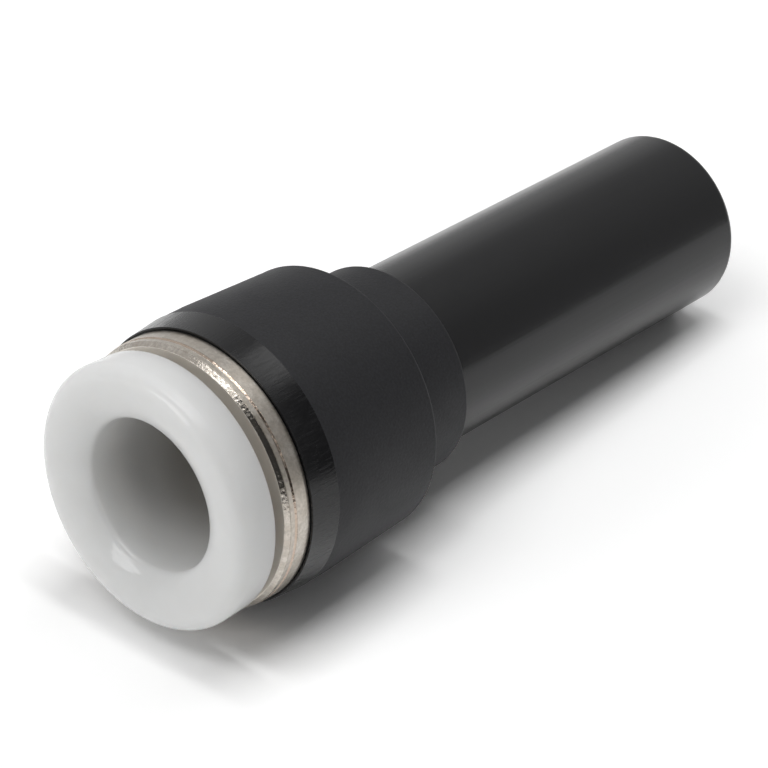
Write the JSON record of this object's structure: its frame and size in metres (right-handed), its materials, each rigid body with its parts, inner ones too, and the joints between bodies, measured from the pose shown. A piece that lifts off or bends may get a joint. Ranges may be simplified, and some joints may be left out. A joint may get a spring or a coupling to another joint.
{
  "type": "pneumatic reducing connector",
  "caption": "Push-in reducing connector: a stepped black body with a hollow plug-in stem, a nickel-plated guide ring and a white release ring that frees the tube.",
  "frame": {"origin": "centre of the stem's end face, on which the part stands", "axes": "+Z along the axis, from the stem's end towards the tube port; X and Y lie across it, with a claw slot on +X"},
  "size_m": [0.0188, 0.0188, 0.0528],
  "materials": {
    "body": "glass-filled moulding, fine matte barrel, polished mouth band and stem",
    "guide_ring": "nickel-plated, turned",
    "release_ring": "satin",
    "lock_claws": "stamped stainless strip",
    "elastic_sleeve": "moulded nitrile"
  },
  "bodies": {
    "housing": {"body": "body", "guide_ring": "guide_ring", "elastic_sleeve": "elastic_sleeve"},
    "claws": {"lock_claws": "lock_claws"},
    "button": {"release_ring": "release_ring"}
  },
  "joints": [
    {"name": "swivel", "type": "hinge", "parent": "housing", "child": "claws", "pos_m": [0, 0, 0.042], "axis": [0, 0, 1], "continuous": true},
    {"name": "press", "type": "slide", "parent": "claws", "child": "button", "axis": [0, 0, -1], "range_m": [0, 0.00075], "stiffness_N_per_m": 12000, "deforming": ["lock_claws"]}
  ]
}
